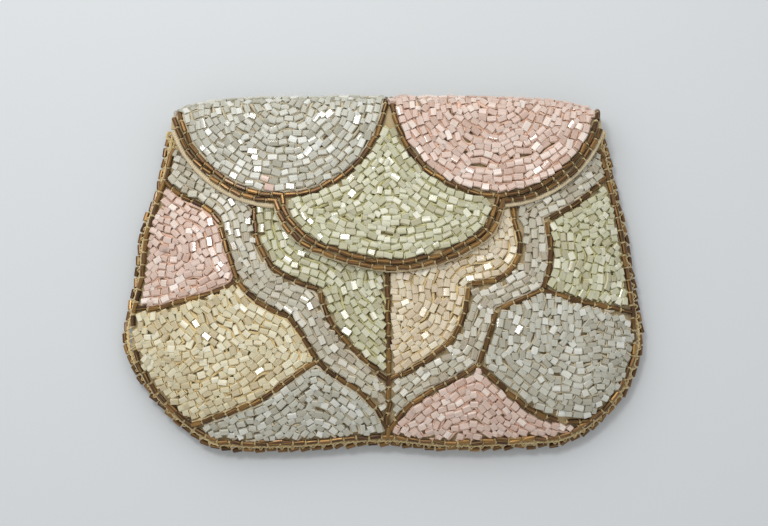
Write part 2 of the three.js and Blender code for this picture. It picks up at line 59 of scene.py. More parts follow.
# A beaded evening purse, closed and lying on its back: short satin glass beads in scalloped fields,
# bronze bugles between them, and a flap with three scallops. Metres, +Z up, +Y from the bottom seam
# to the fold.
mm = 0.001
halfWidth = (cadHigh.x - cadLow.x) / 2
halfHeight = (cadHigh.y - cadLow.y) / 2
chance = np.random.default_rng(1926)

bpy.ops.object.select_all(action="DESELECT")


# Camera: almost straight above, with the picture's top along +Y

view = {
    "across": 276.5 * mm,  # width of the view at the purse
    "middle": (0.4 * mm, 3.2 * mm, 14 * mm),
    "distance": 720 * mm,
    "elevation": 85.5,
    "sensor": 36,
}


def setCamera():
    tilt = math.radians(90 - view["elevation"])
    x, y, z = view["middle"]
    place = (x, y - view["distance"] * math.sin(tilt), z + view["distance"] * math.cos(tilt))
    bpy.ops.object.camera_add(location=place, rotation=(tilt, 0, 0))
    camera = bpy.context.object
    camera.name = "camera"
    camera.data.sensor_width = view["sensor"]
    camera.data.lens = view["sensor"] * view["distance"] / view["across"]
    camera.data.dof.use_dof = False
    bpy.context.scene.camera = camera


setCamera()
print("camera set")


# Lines on the purse, as shares of half its width and half its height. From each row an arc leads on to
# the next, and bulges to the right of its way by a share of its chord.

outlines = {
    "leftRibbonTop": [(-0.9, 0.64, 0.06), (-0.731, 0.396, -0.1), (-0.614, 0.258, 0)],
    "leftRibbonUpper": [(-0.614, 0.258, 0.02), (-0.548, -0.053, 0)],
    "leftRibbonMiddle": [(-0.548, -0.053, 0.09), (-0.352, -0.252, -0.02), (-0.25, -0.49, 0)],
    "leftRibbonLow": [(-0.25, -0.49, 0.045), (-0.117, -0.629, -0.09), (0.017, -0.87, 0)],
    "roseOverLemon": [(-0.548, -0.053, -0.035), (-0.788, -0.174, -0.1), (-0.98, -0.18, 0)],
    "lemonOverMist": [(-0.25, -0.49, -0.005), (-0.459, -0.706, -0.01), (-0.76, -0.86, 0)],
    "leftInnerTop": [(-0.5, 0.9, 0), (-0.489, 0.33, 0.095), (-0.421, 0.025, 0.05), (-0.238, -0.108, 0)],
    "leftInnerLow": [(-0.238, -0.108, 0.075), (-0.144, -0.379, 0.02), (0.02, -0.603, 0)],
    "middle": [(0, 0.9, 0), (0.019, -0.197, -0.01), (0.015, -0.95, 0)],
    "rightInnerTop": [
        (0.47, 0.9, 0), (0.493, 0.313, -0.015), (0.523, 0.136, -0.14),
        (0.424, -0.053, 0.01), (0.322, -0.075, 0),
    ],
    "rightInnerLow": [(0.322, -0.075, -0.08), (0.254, -0.39, -0.03), (0.02, -0.603, 0)],
    "rightRibbonTop": [(0.9, 0.62, -0.05), (0.784, 0.44, -0.05), (0.618, 0.291, 0)],
    "rightRibbonUpper": [(0.618, 0.291, -0.03), (0.632, 0.05, -0.05), (0.6, -0.102, 0)],
    "rightRibbonMiddle": [(0.6, -0.102, -0.02), (0.432, -0.208, 0)],
    "rightRibbonLower": [(0.432, -0.208, -0.01), (0.36, -0.514, 0)],
    "rightRibbonLow": [(0.36, -0.514, -0.02), (0.216, -0.629, 0.07), (0.017, -0.87, 0)],
    "leafOverMist": [(0.6, -0.102, 0.035), (1.0, -0.225, 0)],
    "roseUnderMist": [(0.36, -0.514, 0.02), (0.557, -0.756, 0.09), (0.82, -0.81, 0)],
    "tongue": [
        (-0.375, 0.8, 0), (-0.385, 0.42, 0.135), (-0.25, 0.15, 0.035),
        (0.02, 0.045, 0.09), (0.395, 0.235, 0.095), (0.41, 0.8, 0),
    ],
}
purse = {
    "clothWall": 1 * mm,
    "layerGap": 0.3 * mm,
    "beadLayer": 2.1 * mm,
    "bugleRadius": 0.95 * mm,
    "rowInset": 1.25 * mm,  # from a cloth's edge or a line between colours to the row beside it
    "rowPitch": 2.2 * mm,  # between the two rows around the flap
    "edgingRadius": 1 * mm,
    "seamHeight": 5.2 * mm,
    "mouthDrop": 18.2 * mm,
    "lobeRadius": 37.7 * mm,
    "valleyPlace": 2.1 * mm,
    "valleyGap": 2 * mm,
    "bindingReach": 3.3 * mm,
    "step": 0.5 * mm,  # between the points of a line
}
beadMiddle = purse["layerGap"] + purse["beadLayer"] / 2  # above the outside of the cloth
bugleMiddle = purse["layerGap"] + purse["bugleRadius"]
mouthLine = halfHeight - purse["mouthDrop"]


def arcLine(table):
    points = []
    for (x0, y0, bulge), (x1, y1, _) in zip(table, table[1:]):
        start = np.array((x0 * halfWidth, y0 * halfHeight))
        chord = np.array((x1 * halfWidth, y1 * halfHeight)) - start
        share = np.linspace(0, 1, max(3, int(np.linalg.norm(chord) / purse["step"])))[:, None]
        halfTurn = 2 * math.atan(2 * (bulge or 1e-6))
        turn = halfTurn * (2 * share - 1)
        along = (1 + np.sin(turn) / math.sin(halfTurn)) / 2
        aside = (np.cos(turn) - math.cos(halfTurn)) / (2 * math.sin(halfTurn))
        points.append(start + along * chord + aside * np.array((chord[1], -chord[0])))
    return respaced(np.concatenate(points))


def runAlong(line):
    return np.concatenate([[0], np.cumsum(np.linalg.norm(np.diff(line, axis=0), axis=1))])


def respaced(line, step=purse["step"]):
    run = runAlong(line)
    at = np.linspace(0, run[-1], max(2, int(run[-1] / step) + 1))
    return np.stack([np.interp(at, run, column) for column in line.T], axis=1)


def unit(ways):
    return ways / np.linalg.norm(ways, axis=-1, keepdims=True)


def wayAlong(line):
    way = np.gradient(line, axis=0)
    return way / (np.linalg.norm(way, axis=1)[:, None] + 1e-12)


def rightOf(line):
    way = wayAlong(line)
    return np.stack([way[:, 1], -way[:, 0]], axis=1)


def beside(line, distance):  # to the right of its way where positive
    return line + distance * rightOf(line)


def distanceTo(points, line):
    a, b = line[:-1], line[1:]
    span = b - a
    way = points[:, None] - a[None]
    share = np.clip((way * span).sum(2) / ((span * span).sum(1) + 1e-18), 0, 1)
    return np.linalg.norm(way - share[..., None] * span, axis=2).min(1)


def stretches(line, keep, least=3):
    cuts = np.flatnonzero(np.diff(keep.astype(int))) + 1
    parts = zip(np.split(line, cuts), np.split(keep, cuts))
    return [part for part, kept in parts if kept[0] and len(part) >= least]


lines = {name: arcLine(table) for name, table in outlines.items()}


def scallop(centre, growth=0):
    turn = np.linspace(math.pi, 2 * math.pi, 240)
    radius = purse["lobeRadius"] + growth
    return np.stack([centre[0] + radius * np.cos(turn), centre[1] + radius * np.sin(turn)], axis=1)


valleySide = purse["valleyGap"] / 2 + purse["lobeRadius"]
leftCentre = (purse["valleyPlace"] - valleySide, halfHeight)
rightCentre = (purse["valleyPlace"] + valleySide, halfHeight)
lines["leftScallop"] = scallop(leftCentre)
lines["rightScallop"] = scallop(rightCentre)


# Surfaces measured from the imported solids

survey = {
    "step": 2 * mm,
    "margin": 6 * mm,
    "blur": 5,
    "high": 100 * mm,
    "flapLeast": 10 * mm,  # the flap's top lies above this
    "probe": 0.4 * mm,
    "foldAcross": (-76, 77, 4),  # millimetres
    "foldHeights": (4, 21, 0.5),
    "foldGuess": 8 * mm,  # radius to start from
    "foldRounds": 4,
    "rimTurn": (math.radians(-240), math.radians(60), 900),  # from, to and how many rays
    "rimBlur": 6,
    "rimHigher": 0.6 * mm,  # of the front's rim above the seam
    "wall": 4 * mm,  # no field or row is thicker
}


def treeOf(name):
    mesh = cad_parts[name].data
    return BVHTree.FromPolygons([v.co for v in mesh.vertices], [p.vertices for p in mesh.polygons])


def rayHeights(tree, down, keep):
    xs = np.arange(cadLow.x - survey["margin"], cadHigh.x + survey["margin"], survey["step"])
    ys = np.arange(cadLow.y - survey["margin"], cadHigh.y + survey["margin"], survey["step"])
    table = np.full((len(ys), len(xs)), np.nan)
    way = Vector((0, 0, -1 if down else 1))
    for j, y in enumerate(ys):
        for i, x in enumerate(xs):
            hit = tree.ray_cast(Vector((x, y, survey["high"] if down else -survey["high"])), way)[0]
            if hit is not None and keep(hit):
                table[j, i] = hit.z
    return xs, ys, blurred(filled(table))


def neighbours(table):
    padded = np.pad(table, 1, mode="edge")
    return padded[:-2, 1:-1], padded[2:, 1:-1], padded[1:-1, :-2], padded[1:-1, 2:]


def filled(table):
    known = ~np.isnan(table)
    table = np.where(known, table, 0)
    while not known.all():
        near = np.stack(neighbours(known.astype(float)))
        total = np.stack(neighbours(table * known))
        reached = ~known & (near.sum(0) > 0)
        table = np.where(reached, total.sum(0) / np.maximum(near.sum(0), 1), table)
        known = known | reached
    return table


def blurred(table):
    for _ in range(survey["blur"]):
        table = table / 2 + sum(neighbours(table)) / 8
    return table


def readTable(surface, x, y):
    xs, ys, table = surface
    u = np.clip((x - xs[0]) / survey["step"], 0, len(xs) - 1.001)
    v = np.clip((y - ys[0]) / survey["step"], 0, len(ys) - 1.001)
    i, j = u.astype(int), v.astype(int)
    s, t = u - i, v - j
    low = table[j, i] * (1 - s) + table[j, i + 1] * s
    high = table[j + 1, i] * (1 - s) + table[j + 1, i + 1] * s
    return low * (1 - t) + high * t


clothTree = treeOf("back_and_flap_cloth")


def foldTables():
    xs = np.arange(*survey["foldAcross"]) * mm
    start, radius, middle = [], [], []
    for x in xs:
        heights = np.arange(*survey["foldHeights"]) * mm
        hits = [clothTree.ray_cast(Vector((x, survey["high"], z)), Vector((0, -1, 0)))[0] for z in heights]
        crest = max(hit.y for hit in hits if hit is not None)
        size = survey["foldGuess"]
        for _ in range(survey["foldRounds"]):
            y = crest - size - survey["probe"]
            top = clothTree.ray_cast(Vector((x, y, survey["high"])), Vector((0, 0, -1)))[0].z
            bottom = clothTree.ray_cast(Vector((x, y, -survey["high"])), Vector((0, 0, 1)))[0].z
            size = (top - bottom) / 2
        start.append(crest - size)
        radius.append(size)
        middle.append((top + bottom) / 2)
    return xs, np.array(start), np.array(radius), np.array(middle)


foldXs, *foldColumns = foldTables()


def foldAt(x):
    return [np.interp(x, foldXs, column) for column in foldColumns]


def beforeFold(hit):
    return hit.y < foldAt(hit.x)[0]


frontSurface = rayHeights(treeOf("front_cloth"), True, lambda hit: True)
flapSurface = rayHeights(clothTree, True, lambda hit: hit.z > survey["flapLeast"] and beforeFold(hit))
backSurface = rayHeights(clothTree, False, beforeFold)


def onSurface(surface, x, y, lift, up=1):
    e = survey["probe"]
    slopeX = (readTable(surface, x + e, y) - readTable(surface, x - e, y)) / (2 * e)
    slopeY = (readTable(surface, x, y + e) - readTable(surface, x, y - e)) / (2 * e)
    normal = unit(np.stack([-slopeX, -slopeY, np.ones_like(x)], axis=1) * up)
    return np.stack([x, y, readTable(surface, x, y)], axis=1) + normal * lift, normal


def onFront(points, lift):
    return onSurface(frontSurface, points[:, 0], points[:, 1], lift)


def overFold(points, lift, surface, up):
    x, v = points.T
    start, radius, middle = foldAt(x)
    place, normal = onSurface(surface, x, np.minimum(v, start), lift, up)
    turn = np.clip((v - start) / (radius + beadMiddle), 0, math.pi)
    out = np.stack([np.zeros_like(x), np.sin(turn), np.cos(turn) * up], axis=1)
    turned = np.stack([x, start, middle], axis=1) + out * (radius + lift)[:, None]
    beyond = (v > start)[:, None]
    return np.where(beyond, turned, place), np.where(beyond, out, normal)


def onFlap(points, lift):
    return overFold(points, lift, flapSurface, 1)


def onBack(points, lift):
    return overFold(points, lift, backSurface, -1)


def unrolled(line):  # the part of a plan line beyond the start of the fold, laid out flat
    start, radius, _ = foldAt(line[:, 0])
    size = radius + beadMiddle
    out = np.clip((line[:, 1] - start) / size, 0, 1)
    flat = np.where(line[:, 1] > start, start + size * np.arcsin(out), line[:, 1])
    return np.stack([line[:, 0], flat], axis=1)


def rimOf(name, height, inset):
    tree = treeOf(name)
    rim = []
    for turn in np.linspace(*survey["rimTurn"]):
        out = Vector((math.cos(turn), math.sin(turn), 0))
        hit = tree.ray_cast(out * 2 * halfWidth + Vector((0, 0, height)), -out)[0]
        if hit is not None and hit.y < mouthLine + (0 if name == "front_cloth" else 1):
            rim.append(np.array(hit[:2]))
    rim = respaced(np.array(rim))
    for _ in range(survey["rimBlur"]):
        rim[1:-1] = rim[1:-1] / 2 + (rim[:-2] + rim[2:]) / 4
    return beside(rim, -inset)


lines["frontRim"] = rimOf("front_cloth", purse["seamHeight"] + survey["rimHigher"], purse["rowInset"])
lines["seam"] = rimOf("seam_edging_beads", purse["seamHeight"], purse["edgingRadius"])
print("surfaces measured")


# Meshes from arrays

lowest = 0.02 * mm  # the back lies flat on the floor


def meshPiece(name, points, faces, materials, attributes=None, smooth=False, faceMaterials=None):
    mesh = bpy.data.meshes.new(name)
    points[:, 2] = np.maximum(points[:, 2], lowest)
    mesh.from_pydata(points, [], faces)
    for key, (kind, field, values) in (attributes or {}).items():
        data = mesh.attributes.new(key, kind, "POINT").data
        data.foreach_set(field, np.asarray(values, np.float32).ravel())
    for material in materials:
        mesh.materials.append(material)
    if faceMaterials is not None:
        mesh.polygons.foreach_set("material_index", faceMaterials)
    mesh.polygons.foreach_set("use_smooth", np.full(len(mesh.polygons), smooth))
    mesh.update()
    piece = bpy.data.objects.new(name, mesh)
    bpy.context.scene.collection.objects.link(piece)
    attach(piece, "root")
    return piece


def modelArrays(piece):  # vertices and faces of a modelled bead, which is then removed
    mesh = piece.data
    points = np.array([v.co for v in mesh.vertices])
    faces = [tuple(p.vertices) for p in mesh.polygons]
    bpy.data.objects.remove(piece)
    return points, faces


def editParts(piece, kind, choose, work):  # on the faces or edges that are chosen by place or normal
    mesh = piece.data
    bpy.ops.object.select_all(action="DESELECT")
    piece.select_set(True)
    bpy.context.view_layer.objects.active = piece
    bpy.ops.object.mode_set(mode="EDIT")
    bpy.ops.mesh.select_mode(type=kind)
    bpy.ops.mesh.select_all(action="DESELECT")
    bpy.ops.object.mode_set(mode="OBJECT")
    for part in mesh.polygons if kind == "FACE" else mesh.edges:
        corners = [mesh.vertices[i].co for i in part.vertices]
        part.select = choose(part) if kind == "FACE" else choose(*corners)
    bpy.ops.object.mode_set(mode="EDIT")
    work()
    bpy.ops.object.mode_set(mode="OBJECT")


def bevelEdges(piece, choose, offset):
    editParts(piece, "EDGE", choose, lambda: bpy.ops.mesh.bevel(offset=offset, segments=1, affect="EDGES"))


def chipEnds(piece, chip):  # bevels the edges round both ends
    bevelEdges(piece, lambda a, b: abs(a.x - b.x) < chip / 2, chip)


def holeEnds(piece, dimple, depth):  # sinks the thread's hole into both ends
    isEnd = lambda face: abs(face.normal.x) > 0.9 and len(face.vertices) > 4
    editParts(piece, "FACE", isEnd, lambda: bpy.ops.mesh.inset(
        thickness=dimple, depth=-depth, use_individual=True))


satin = {
    "length": 3.05 * mm,
    "width": 2.55 * mm,
    "height": 2 * mm,
    "facet": 0.34 * mm,  # the four narrow facets along it
    "chip": 0.12 * mm,  # around its ends
    "dimple": 0.28,  # of its width, from the side to the thread's hole
    "holeDepth": 0.45 * mm,
    "ridge": 0.13 * mm,  # of the beads with two facets on top
    "ridgePlace": 0.3 * mm,  # beside the middle
    "ridged": 0.4,  # share of such beads
    "spacing": 0.34 * mm,
    "rows": 2.7 * mm,
}


def satinBead(holes=True, ridge=0):
    bpy.ops.mesh.primitive_cube_add(size=1)
    bead = bpy.context.object
    bead.scale = (satin["length"], satin["width"], satin["height"])
    bpy.ops.object.transform_apply(scale=True)
    if ridge:
        editParts(bead, "FACE", lambda face: True, lambda: bpy.ops.mesh.bisect(
            plane_co=(0, ridge, 0), plane_no=(0, 1, 0)))
        near = satin["ridge"] / 10
        onTop = lambda a, b: a.z > 0 and b.z > 0 and abs(a.y - ridge) < near and abs(b.y - ridge) < near
        editParts(bead, "EDGE", onTop, lambda: bpy.ops.transform.translate(value=(0, 0, satin["ridge"])))
    bevelEdges(bead, lambda a, b: abs(a.x - b.x) > satin["length"] / 2, satin["facet"])
    chipEnds(bead, satin["chip"])
    if holes:
        holeEnds(bead, satin["dimple"] * satin["width"], satin["holeDepth"])
    return modelArrays(bead)


bugle = {
    "length": 3.85 * mm,
    "spacing": 0.7 * mm,
    "sides": 10,
    "chip": 0.16 * mm,
    "dimple": 0.42 * mm,
    "holeDepth": 0.5 * mm,
}


def bugleBead():
    bpy.ops.mesh.primitive_cylinder_add(vertices=bugle["sides"], radius=purse["bugleRadius"],
                                        depth=bugle["length"], rotation=(0, math.pi / 2, 0))
    bead = bpy.context.object
    bpy.ops.object.transform_apply(rotation=True)
    chipEnds(bead, bugle["chip"])
    holeEnds(bead, bugle["dimple"], bugle["holeDepth"])
    return modelArrays(bead)


satinShapes = [satinBead(), satinBead(ridge=satin["ridgePlace"])]
backShapes = [satinBead(holes=False)]
bugleShapes = [bugleBead()]
print("beads modelled:", [len(faces) for _, faces in satinShapes + backShapes + bugleShapes], "faces")


def copies(shape, beads):  # points, faces and attributes of all the copies of a bead
    points, faces = shape
    n = len(beads)
    centre = np.array([bead["centre"] for bead in beads])
    axis = unit(np.array([bead["axis"] for bead in beads]))
    up = np.array([bead["up"] for bead in beads])
    up = unit(up - axis * (up * axis).sum(1)[:, None])
    side = np.cross(up, axis)
    size = np.array([bead["size"] for bead in beads])
    local = points[None] * size[:, None]
    world = centre[:, None] + local[..., :1] * axis[:, None] + local[..., 1:2] * side[:, None]
    world = world + local[..., 2:] * up[:, None]
    offset = np.arange(n) * len(points)
    allFaces = [tuple(i + start for i in face) for start in offset.tolist() for face in faces]
    shade = np.repeat(chance.random(n), len(points))
    grain = local + chance.random((n, 1, 3)) * 0.5
    return world.reshape(-1, 3), allFaces, shade, grain.reshape(-1, 3)


def tubes(paths, radius, sides=4):  # closed at both ends
    points, faces, count = [], [], 0
    ring = np.linspace(0, 2 * math.pi, sides, endpoint=False)
    for path in paths:
        way = wayAlong(path)
        across = np.cross(way, (0.03, 0.05, 1.0))
        across /= np.linalg.norm(across, axis=1)[:, None] + 1e-12
        over = np.cross(across, way)
        circle = across[:, None] * np.cos(ring)[None, :, None] + over[:, None] * np.sin(ring)[None, :, None]
        points.append((path[:, None] + radius * circle).reshape(-1, 3))
        m = len(path)
        for j in range(m - 1):
            for i in range(sides):
                k = (i + 1) % sides
                a = count + j * sides
                faces.append((a + i, a + k, a + sides + k, a + sides + i))
        faces.append(tuple(count + i for i in reversed(range(sides))))
        faces.append(tuple(count + (m - 1) * sides + i for i in range(sides)))
        count += m * sides
    return np.concatenate(points), faces


# Materials

def setSockets(tree, node, sockets):  # each takes a value, or a link from another node's output
    for key, value in sockets.items():
        if isinstance(value, bpy.types.NodeSocket):
            tree.links.new(value, node.inputs[key])
        else:
            node.inputs[key].default_value = value


def addNode(tree, kind, sockets=None, output=0, **settings):
    node = tree.nodes.new("ShaderNode" + kind)
    for key, value in settings.items():
        setattr(node, key, value)
    setSockets(tree, node, sockets or {})
    return node.outputs[output]


def newMaterial(name, sockets, recipe):  # the recipe gives the sockets that hang on other nodes
    material = bpy.data.materials.new(name)
    material.use_nodes = True
    tree = material.node_tree
    setSockets(tree, tree.nodes["Principled BSDF"], {**recipe(tree), **sockets})
    return material


def mixColours(tree, factor, first, second, blend="MIX"):
    first, second = [(*tone, 1) if isinstance(tone, tuple) else tone for tone in (first, second)]
    sockets = {0: factor, 6: first, 7: second}
    return addNode(tree, "Mix", sockets, 2, data_type="RGBA", blend_type=blend)


def rampOf(tree, tones):  # colours by each bead's own shade
    ramp = tree.nodes.new("ShaderNodeValToRGB")
    first, last = ramp.color_ramp.elements
    first.position = tones[0][0]
    first.color, last.color = (*tones[0][1], 1), (*tones[-1][1], 1)
    for place, tone in tones[1:-1]:
        ramp.color_ramp.elements.new(place).color = (*tone, 1)
    setSockets(tree, ramp, {0: addNode(tree, "Attribute", output="Fac", attribute_name="shade")})
    return ramp.outputs[0]


def streaksOf(tree, stretch, detail):  # along the bead
    grain = addNode(tree, "Attribute", output="Vector", attribute_name="grain")
    place = addNode(tree, "Mapping", {"Scale": stretch, "Vector": grain})
    return addNode(tree, "TexNoise", {"Scale": 1, "Detail": detail, "Vector": place}, "Fac")


def bumpOf(tree, height, strength, distance):
    return addNode(tree, "Bump", {"Strength": strength, "Distance": distance, "Height": height})


def satinGlass(name, dull, body, pale):
    def recipe(tree):
        tones = rampOf(tree, [(0.1, dull), (0.45, body), (0.72, body), (1, pale)])
        silky = streaksOf(tree, (130, 3600, 3600), 2)
        streak = addNode(tree, "MapRange", {
            "Value": silky, "From Min": 0.35, "From Max": 0.65, "To Min": 0.88, "To Max": 1.05})
        return {"Base Color": mixColours(tree, 1.0, tones, streak, "MULTIPLY"),
                "Normal": bumpOf(tree, silky, 0.06, 0.05 * mm)}

    return newMaterial(name, {
        "Roughness": 0.36,
        "IOR": 1.52,
        "Coat Weight": 0.85,
        "Coat Roughness": 0.1,
        "Subsurface Weight": 0.45,
        "Subsurface Radius": (1, 0.9, 0.75),
        "Subsurface Scale": 0.9 * mm,
    }, recipe)


def bronzeGlass(name, dark, middle, light, glint):
    def recipe(tree):
        tones = rampOf(tree, [(0, dark), (0.7, middle), (1, light)])
        cloud = streaksOf(tree, (90, 2600, 2600), 3)
        glow = addNode(tree, "MapRange", {"Value": cloud, "From Min": 0.5, "From Max": 0.72})
        return {"Base Color": mixColours(tree, glow, tones, glint)}

    finish = {"Metallic": 0.7, "Roughness": 0.34, "Coat Weight": 0.25, "Coat Roughness": 0.12}
    return newMaterial(name, finish, recipe)


def clouded(name, finish, colour, other, scale, stretch=None):  # two colours in soft clouds
    def recipe(tree):
        place = addNode(tree, "TexCoord", output="Object")
        if stretch:
            place = addNode(tree, "Mapping", {"Scale": stretch, "Vector": place})
        cloud = addNode(tree, "TexNoise", {"Scale": scale, "Vector": place}, "Fac")
        return {"Base Color": mixColours(tree, cloud, colour, other)}

    return newMaterial(name, finish, recipe)


def threadSilk(name, colour, bright):
    return clouded(name, {"Roughness": 0.55, "Sheen Weight": 0.4}, colour, bright, 900)


def cottonCloth(name, colour, shadeAndStain):
    def recipe(tree):
        place = addNode(tree, "TexCoord", output="Object")
        waves = []
        for turn in (0, math.pi / 2):
            spun = addNode(tree, "Mapping", {"Rotation": (0, 0, turn), "Vector": place})
            # two threads to the millimetre
            waves.append(addNode(tree, "TexWave", {
                "Scale": 420, "Distortion": 1.5, "Detail": 1, "Vector": spun}, "Fac"))
        height = addNode(tree, "Math", {0: waves[0], 1: waves[1]}, operation="MULTIPLY")
        stain = addNode(tree, "TexNoise", {"Scale": 60, "Detail": 4, "Vector": place}, "Fac")
        aged = mixColours(tree, stain, colour, shadeAndStain)
        # painted shade: where the weave is low, between the threads, the surface takes the darker colour,
        # which also tints the random stains
        return {"Base Color": mixColours(tree, height, shadeAndStain, aged),
                "Normal": bumpOf(tree, height, 0.5, 0.1 * mm)}

    return newMaterial(name, {"Roughness": 0.85, "Sheen Weight": 0.25}, recipe)


glass = {
    "pearl": satinGlass("satin_pearl", (0.44, 0.38, 0.28), (0.54, 0.51, 0.40), (0.76, 0.73, 0.63)),
    "mist": satinGlass("satin_mist", (0.42, 0.40, 0.31), (0.54, 0.53, 0.44), (0.75, 0.75, 0.68)),
    "rose": satinGlass("satin_rose", (0.62, 0.44, 0.35), (0.71, 0.54, 0.45), (0.88, 0.77, 0.68)),
    "lemon": satinGlass("satin_lemon", (0.58, 0.49, 0.30), (0.69, 0.62, 0.41), (0.86, 0.81, 0.62)),
    "leaf": satinGlass("satin_leaf", (0.48, 0.45, 0.29), (0.57, 0.56, 0.38), (0.77, 0.75, 0.59)),
    "cream": satinGlass("satin_cream", (0.63, 0.51, 0.35), (0.73, 0.63, 0.45), (0.88, 0.80, 0.62)),
}
silk = {
    "gold": threadSilk("silk_gold", (0.56, 0.40, 0.16), (0.88, 0.72, 0.38)),
    "olive": threadSilk("silk_olive", (0.62, 0.53, 0.36), (0.84, 0.75, 0.56)),
    "salmon": threadSilk("silk_salmon", (0.86, 0.54, 0.38), (0.94, 0.73, 0.58)),
    "lime": threadSilk("silk_lime", (0.60, 0.56, 0.24), (0.82, 0.78, 0.46)),
    "amber": threadSilk("silk_amber", (0.84, 0.62, 0.28), (0.96, 0.83, 0.52)),
}
bronze = bronzeGlass("bronze_bugles", (0.05, 0.022, 0.007), (0.13, 0.062, 0.02), (0.27, 0.145, 0.042),
                     (0.42, 0.24, 0.065))
cotton = cottonCloth("cream_cotton", (0.72, 0.60, 0.38), (0.50, 0.38, 0.20))
hemSilk = cottonCloth("cream_hem_silk", (0.92, 0.82, 0.60), (0.74, 0.61, 0.39))
print("materials made")


# Rows of satin beads that follow the outlines around each field

fields = {  # each with its glass and the lines that its rows follow
    "flap_beads_left": ("mist", ["leftScallop"]),
    "flap_beads_right": ("rose", ["rightScallop"]),
    "flap_beads_middle": ("leaf", ["tongue", "leftScallop", "rightScallop"]),
    "front_beads_ribbon_left": ("pearl", [
        "leftRibbonTop", "leftRibbonUpper", "leftRibbonMiddle", "leftRibbonLow"]),
    "front_beads_ribbon_right": ("pearl", [
        "rightRibbonTop", "rightRibbonUpper", "rightRibbonMiddle", "rightRibbonLower",
        "rightRibbonLow"]),
    "front_beads_rose_left": ("rose", ["leftRibbonTop", "leftRibbonUpper", "roseOverLemon"]),
    "front_beads_rose_right": ("rose", ["rightRibbonLow", "roseUnderMist"]),
    "front_beads_lemon": ("lemon", ["leftRibbonMiddle", "lemonOverMist"]),
    "front_beads_mist_left": ("mist", ["lemonOverMist", "leftRibbonLow"]),
    "front_beads_mist_right": ("mist", ["roseUnderMist", "rightRibbonLower"]),
    "front_beads_leaf_left": ("leaf", ["leftInnerTop", "leftInnerLow"]),
    "front_beads_leaf_right": ("leaf", ["rightRibbonTop", "rightRibbonUpper"]),
    "front_beads_cream": ("cream", ["rightInnerTop", "rightInnerLow"]),
}
threadColour = {
    "pearl": "olive", "mist": "olive", "rose": "salmon", "lemon": "amber", "leaf": "lime", "cream": "amber",
}
strays = {"flap_beads_left": (-42.1 * mm, 32.6 * mm)}  # two beads of the neighbouring colour lie there
crestSpans = {  # along the fold, from and to
    "flap_beads_left": (-73 * mm, purse["valleyPlace"]),
    "flap_beads_right": (purse["valleyPlace"], 76 * mm),
}
loose = {
    "roll": 8,  # degrees, standard deviation around its own axis
    "nod": 6,
    "yaw": 10,
    "lift": 0.1 * mm,
    "aside": 0.22 * mm,
    "length": 0.12,  # share of the usual length, standard deviation
    "lengths": (0.75, 1.2),
    "widths": (0.8, 1.02),
    "heights": (0.94, 1),
    "missing": 0.01,
    "gap": (0.4, 2),  # times the usual spacing
    "overhang": 0.45 * mm,  # of a bead's corner over the edge of its field
}
sowing = {
    "grid": 0.8 * mm,
    "room": 2 * mm,  # around a field's box
    "unrolled": 22 * mm,
    "wander": 1.1 * mm,  # of the rows, in waves
    "wave": 11 * mm,
    "calm": 9 * mm,  # the rows nearer to a guide wander less
    "straight": 0.3,  # share of that distance where they don't wander
    "patch": 1.1 * mm,  # between the places tried for beads that fill holes
    "patchShift": 0.4,  # share of it that a place is moved at most
    "patchSize": (0.9, 1.1),
    "patches": [(0.82, 2.2 * mm, 0.45 * mm), (0.6, 2 * mm, 0.75 * mm)],  # length, clear of others, overhang
}
stitch = {
    "radius": 0.13 * mm,
    "ends": 0.6,  # share of beads with a stitch at the end
    "sides": 0.35,
    # along the bead, up from and to, and spread to the side, in millimetres
    "endPath": [(-0.3, -0.1, -0.1, 0), (0.15, 0, 0.5, 0.3), (0.5, -0.3, -0.3, 0.5), (0.6, -1.1, -1.1, 0.6)],
    "sidePath": [(-1.2, -0.7, -0.7, 0), (-0.4, -0.1, 0.5, 0), (0.5, -0.1, 0.4, 0), (1.3, -0.7, -0.7, 0)],
    "sideGap": 0.05 * mm,
    "fine": 0.2 * mm,  # thinner threads have three sides
    "floss": 0.5 * mm,
    "flossRise": 1.0 * mm,
    "flossWave": (0.12 * mm, 0.2 * mm),  # to the sides and up
    "flossStep": 1.4 * mm,
    "flossBend": (0.8 * mm, 1.4 * mm),
    "plug": 0.3 * mm,
    "plugReach": 1 * mm,
    "plugBehind": 0.2 * mm,  # the bead's end
    "plugRise": (0, 0.35 * mm),
    "plugLean": 0.15 * mm,
}


def levelLines(table, level, corner):  # the lines where the table has one value
    cells = np.stack([table[:-1, :-1], table[1:, :-1], table[:-1, 1:], table[1:, 1:]])
    links, places = {}, {}
    for j, i in np.argwhere((cells.min(0) < level) & (cells.max(0) >= level)).tolist():
        ring = [(j, i), (j, i + 1), (j + 1, i + 1), (j + 1, i)]
        cuts = []
        for a, b in zip(ring, ring[1:] + ring[:1]):
            if (table[a] < level) != (table[b] < level):
                share = (level - table[a]) / (table[b] - table[a])
                cuts.append((min(a, b), max(a, b)))
                places[cuts[-1]] = (a[1] + share * (b[1] - a[1]), a[0] + share * (b[0] - a[0]))
        for a, b in zip(cuts[::2], cuts[1::2]):
            links.setdefault(a, []).append(b)
            links.setdefault(b, []).append(a)
    seen, chains = set(), []
    for here in sorted(links, key=lambda cut: (len(links[cut]), cut)):
        chain = []
        while here is not None and here not in seen:
            seen.add(here)
            chain.append(places[here])
            here = next((cut for cut in links[here] if cut not in seen), None)
        if len(chain) > 3:
            chains.append(corner + sowing["grid"] * np.array(chain))
    return chains


def inside(tree, point, up):  # both ways along the normal, the solid is left and not entered
    for way in (Vector(up), -Vector(up)):
        place, normal, _, _ = tree.ray_cast(Vector(point), way, survey["wall"])
        if place is None or normal.dot(way) < 0:
            return False
    return True


def insideRuns(line, on, lift, tree, also=False):
    places, normals = on(line, lift)
    return stretches(line, np.array([inside(tree, p, up) for p, up in zip(places, normals)]) | also)


